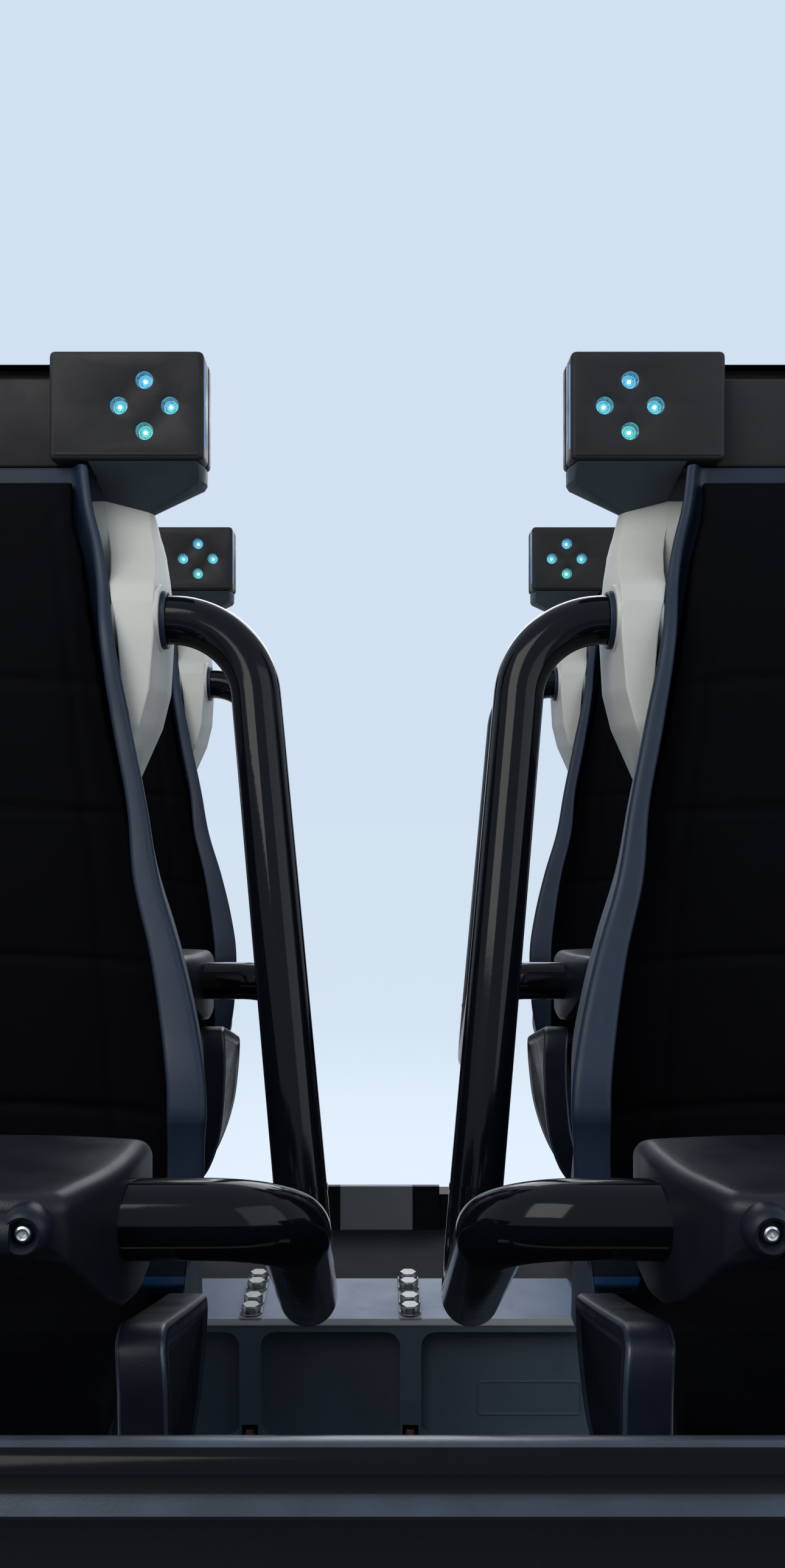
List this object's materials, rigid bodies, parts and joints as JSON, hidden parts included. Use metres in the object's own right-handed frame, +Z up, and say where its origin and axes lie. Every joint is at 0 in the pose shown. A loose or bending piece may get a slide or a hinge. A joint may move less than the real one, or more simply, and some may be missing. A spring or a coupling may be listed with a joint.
{
  "type": "roller coaster car",
  "caption": "Lead car of a roller coaster train with two rows of bucket seats, lift-up lap restraints, lit headrests and rail bogies.",
  "frame": {"origin": "middle of the car at the floor under its up-stop wheels", "axes": "-Y the way the car travels, +X to the left of a rider facing forward, +Z up"},
  "size_m": [1.819, 2.3512, 2.073],
  "materials": {
    "chassis_paint": "satin black paint",
    "floor_coating": "rough anti-slip coating",
    "gloss_black_shell": "polished black lacquer",
    "satin_black": "satin black moulding",
    "edge_grey": "satin dark blue-grey",
    "pale_shell": "satin light grey",
    "black_padding": "matte skinned foam",
    "black_moulding": "matte grained black",
    "gloss_black_tube": "gloss black powder coat",
    "grey_steel": "satin grey paint",
    "bare_fin": "milled",
    "bogie_paint": "satin dark paint",
    "wheel_tread": "cast polyurethane tread on an aluminium hub",
    "lamp_lens": "clear lens over a lit diode"
  },
  "bodies": {
    "car": {"chassis_frame": "chassis_paint", "axle_beams": "chassis_paint", "floor_pan": "floor_coating", "front_fascia": "gloss_black_shell", "fascia_stays": "chassis_paint", "side_sills": "gloss_black_shell", "seat_pedestals": "satin_black", "seat_buckets": "edge_grey", "seat_shells": "pale_shell", "back_pads": "black_padding", "seat_cushions": "black_padding", "headrests": "satin_black", "headrest_lamps": "lamp_lens", "leg_wings": "satin_black", "pivot_housings": "satin_black", "latch_blocks": "satin_black", "cross_beam": "grey_steel", "rear_plate": "grey_steel", "brake_fin": "bare_fin", "couplers": "chassis_paint"},
    "restraint_1l": {"restraint_tubes_1l": "gloss_black_tube", "lap_pad_1l": "black_moulding"},
    "restraint_1r": {"restraint_tubes_1r": "gloss_black_tube", "lap_pad_1r": "black_moulding"},
    "restraint_2l": {"restraint_tubes_2l": "gloss_black_tube", "lap_pad_2l": "black_moulding"},
    "restraint_2r": {"restraint_tubes_2r": "gloss_black_tube", "lap_pad_2r": "black_moulding"},
    "bogie_fl": {"bogie_fl": "bogie_paint"},
    "road_wheel_fl_a": {"road_wheel_fl_a": "wheel_tread"},
    "guide_wheel_fl_a": {"guide_wheel_fl_a": "wheel_tread"},
    "road_wheel_fl_b": {"road_wheel_fl_b": "wheel_tread"},
    "guide_wheel_fl_b": {"guide_wheel_fl_b": "wheel_tread"},
    "stop_wheel_fl": {"stop_wheel_fl": "wheel_tread"},
    "bogie_fr": {"bogie_fr": "bogie_paint"},
    "road_wheel_fr_a": {"road_wheel_fr_a": "wheel_tread"},
    "guide_wheel_fr_a": {"guide_wheel_fr_a": "wheel_tread"},
    "road_wheel_fr_b": {"road_wheel_fr_b": "wheel_tread"},
    "guide_wheel_fr_b": {"guide_wheel_fr_b": "wheel_tread"},
    "stop_wheel_fr": {"stop_wheel_fr": "wheel_tread"},
    "bogie_rl": {"bogie_rl": "bogie_paint"},
    "road_wheel_rl_a": {"road_wheel_rl_a": "wheel_tread"},
    "guide_wheel_rl_a": {"guide_wheel_rl_a": "wheel_tread"},
    "road_wheel_rl_b": {"road_wheel_rl_b": "wheel_tread"},
    "guide_wheel_rl_b": {"guide_wheel_rl_b": "wheel_tread"},
    "stop_wheel_rl": {"stop_wheel_rl": "wheel_tread"},
    "bogie_rr": {"bogie_rr": "bogie_paint"},
    "road_wheel_rr_a": {"road_wheel_rr_a": "wheel_tread"},
    "guide_wheel_rr_a": {"guide_wheel_rr_a": "wheel_tread"},
    "road_wheel_rr_b": {"road_wheel_rr_b": "wheel_tread"},
    "guide_wheel_rr_b": {"guide_wheel_rr_b": "wheel_tread"},
    "stop_wheel_rr": {"stop_wheel_rr": "wheel_tread"}
  },
  "joints": [
    {"name": "restraint_1l_lift", "type": "hinge", "parent": "car", "child": "restraint_1l", "pos_m": [-0.4365, -0.32, 1.778], "axis": [-1, 0, 0], "range_deg": [0, 78]},
    {"name": "restraint_1r_lift", "type": "hinge", "parent": "car", "child": "restraint_1r", "pos_m": [0.4365, -0.32, 1.778], "axis": [-1, 0, 0], "range_deg": [0, 78]},
    {"name": "restraint_2l_lift", "type": "hinge", "parent": "car", "child": "restraint_2l", "pos_m": [-0.517, 0.718, 1.778], "axis": [-1, 0, 0], "range_deg": [0, 78]},
    {"name": "restraint_2r_lift", "type": "hinge", "parent": "car", "child": "restraint_2r", "pos_m": [0.517, 0.718, 1.778], "axis": [-1, 0, 0], "range_deg": [0, 78]},
    {"name": "bogie_fl_yaw", "type": "hinge", "parent": "car", "child": "bogie_fl", "pos_m": [-0.34, -0.72, 0.46], "axis": [0, 0, 1], "range_deg": [-8, 8]},
    {"name": "road_wheel_fl_a_spin", "type": "hinge", "parent": "bogie_fl", "child": "road_wheel_fl_a", "pos_m": [-0.5, -0.898, 0.462], "axis": [1, 0, 0], "continuous": true},
    {"name": "guide_wheel_fl_a_spin", "type": "hinge", "parent": "bogie_fl", "child": "guide_wheel_fl_a", "pos_m": [-0.68, -0.878, 0.24], "axis": [0, 0, 1], "continuous": true},
    {"name": "road_wheel_fl_b_spin", "type": "hinge", "parent": "bogie_fl", "child": "road_wheel_fl_b", "pos_m": [-0.5, -0.542, 0.462], "axis": [1, 0, 0], "continuous": true},
    {"name": "guide_wheel_fl_b_spin", "type": "hinge", "parent": "bogie_fl", "child": "guide_wheel_fl_b", "pos_m": [-0.68, -0.562, 0.24], "axis": [0, 0, 1], "continuous": true},
    {"name": "stop_wheel_fl_spin", "type": "hinge", "parent": "bogie_fl", "child": "stop_wheel_fl", "pos_m": [-0.5, -0.72, 0.085], "axis": [1, 0, 0], "continuous": true},
    {"name": "bogie_fr_yaw", "type": "hinge", "parent": "car", "child": "bogie_fr", "pos_m": [0.34, -0.72, 0.46], "axis": [0, 0, 1], "range_deg": [-8, 8]},
    {"name": "road_wheel_fr_a_spin", "type": "hinge", "parent": "bogie_fr", "child": "road_wheel_fr_a", "pos_m": [0.5, -0.898, 0.462], "axis": [1, 0, 0], "continuous": true},
    {"name": "guide_wheel_fr_a_spin", "type": "hinge", "parent": "bogie_fr", "child": "guide_wheel_fr_a", "pos_m": [0.68, -0.878, 0.24], "axis": [0, 0, 1], "continuous": true},
    {"name": "road_wheel_fr_b_spin", "type": "hinge", "parent": "bogie_fr", "child": "road_wheel_fr_b", "pos_m": [0.5, -0.542, 0.462], "axis": [1, 0, 0], "continuous": true},
    {"name": "guide_wheel_fr_b_spin", "type": "hinge", "parent": "bogie_fr", "child": "guide_wheel_fr_b", "pos_m": [0.68, -0.562, 0.24], "axis": [0, 0, 1], "continuous": true},
    {"name": "stop_wheel_fr_spin", "type": "hinge", "parent": "bogie_fr", "child": "stop_wheel_fr", "pos_m": [0.5, -0.72, 0.085], "axis": [1, 0, 0], "continuous": true},
    {"name": "bogie_rl_yaw", "type": "hinge", "parent": "car", "child": "bogie_rl", "pos_m": [-0.34, 0.72, 0.46], "axis": [0, 0, 1], "range_deg": [-8, 8]},
    {"name": "road_wheel_rl_a_spin", "type": "hinge", "parent": "bogie_rl", "child": "road_wheel_rl_a", "pos_m": [-0.5, 0.542, 0.462], "axis": [1, 0, 0], "continuous": true},
    {"name": "guide_wheel_rl_a_spin", "type": "hinge", "parent": "bogie_rl", "child": "guide_wheel_rl_a", "pos_m": [-0.68, 0.562, 0.24], "axis": [0, 0, 1], "continuous": true},
    {"name": "road_wheel_rl_b_spin", "type": "hinge", "parent": "bogie_rl", "child": "road_wheel_rl_b", "pos_m": [-0.5, 0.898, 0.462], "axis": [1, 0, 0], "continuous": true},
    {"name": "guide_wheel_rl_b_spin", "type": "hinge", "parent": "bogie_rl", "child": "guide_wheel_rl_b", "pos_m": [-0.68, 0.878, 0.24], "axis": [0, 0, 1], "continuous": true},
    {"name": "stop_wheel_rl_spin", "type": "hinge", "parent": "bogie_rl", "child": "stop_wheel_rl", "pos_m": [-0.5, 0.72, 0.085], "axis": [1, 0, 0], "continuous": true},
    {"name": "bogie_rr_yaw", "type": "hinge", "parent": "car", "child": "bogie_rr", "pos_m": [0.34, 0.72, 0.46], "axis": [0, 0, 1], "range_deg": [-8, 8]},
    {"name": "road_wheel_rr_a_spin", "type": "hinge", "parent": "bogie_rr", "child": "road_wheel_rr_a", "pos_m": [0.5, 0.542, 0.462], "axis": [1, 0, 0], "continuous": true},
    {"name": "guide_wheel_rr_a_spin", "type": "hinge", "parent": "bogie_rr", "child": "guide_wheel_rr_a", "pos_m": [0.68, 0.562, 0.24], "axis": [0, 0, 1], "continuous": true},
    {"name": "road_wheel_rr_b_spin", "type": "hinge", "parent": "bogie_rr", "child": "road_wheel_rr_b", "pos_m": [0.5, 0.898, 0.462], "axis": [1, 0, 0], "continuous": true},
    {"name": "guide_wheel_rr_b_spin", "type": "hinge", "parent": "bogie_rr", "child": "guide_wheel_rr_b", "pos_m": [0.68, 0.878, 0.24], "axis": [0, 0, 1], "continuous": true},
    {"name": "stop_wheel_rr_spin", "type": "hinge", "parent": "bogie_rr", "child": "stop_wheel_rr", "pos_m": [0.5, 0.72, 0.085], "axis": [1, 0, 0], "continuous": true}
  ]
}
